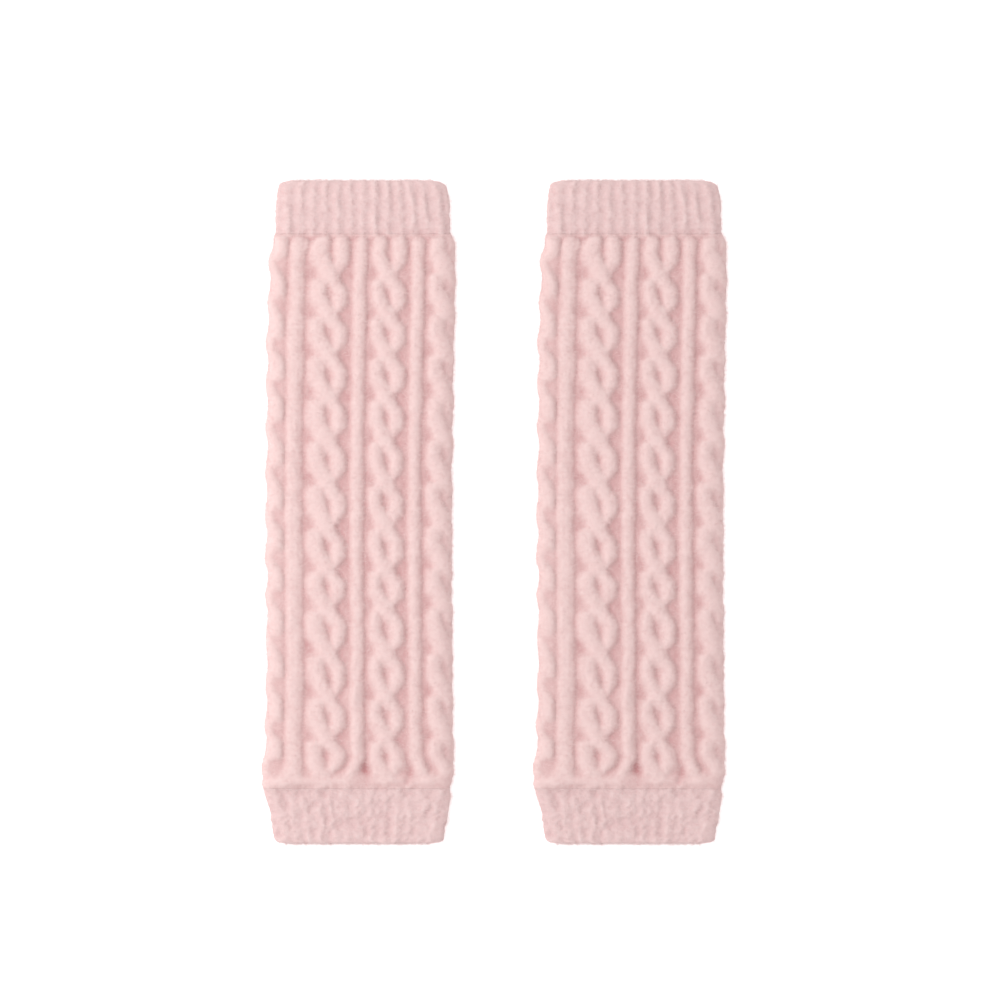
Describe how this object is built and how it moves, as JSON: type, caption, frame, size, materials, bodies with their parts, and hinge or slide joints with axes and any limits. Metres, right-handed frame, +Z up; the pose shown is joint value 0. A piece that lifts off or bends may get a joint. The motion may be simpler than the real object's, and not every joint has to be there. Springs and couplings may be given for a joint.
{
  "type": "leg warmers",
  "caption": "Cable-knit leg warmers with ribbed cuffs at knee and ankle, laid flat side by side.",
  "frame": {"origin": "on the resting surface, under the centre of the laid-out pair", "axes": "+X across the pair to the right one, +Y along the legs from ankle to knee, +Z up from the surface"},
  "size_m": [0.28, 0.4, 0.0123],
  "materials": {
    "cable_knit": "brushed, matte, fuzzy",
    "rib_knit": "brushed, matte, fuzzy"
  },
  "bodies": {
    "root": {"left_top_cuff": "rib_knit", "left_leg_tube": "cable_knit", "left_ankle_cuff": "rib_knit", "right_top_cuff": "rib_knit", "right_leg_tube": "cable_knit", "right_ankle_cuff": "rib_knit"}
  },
  "joints": []
}
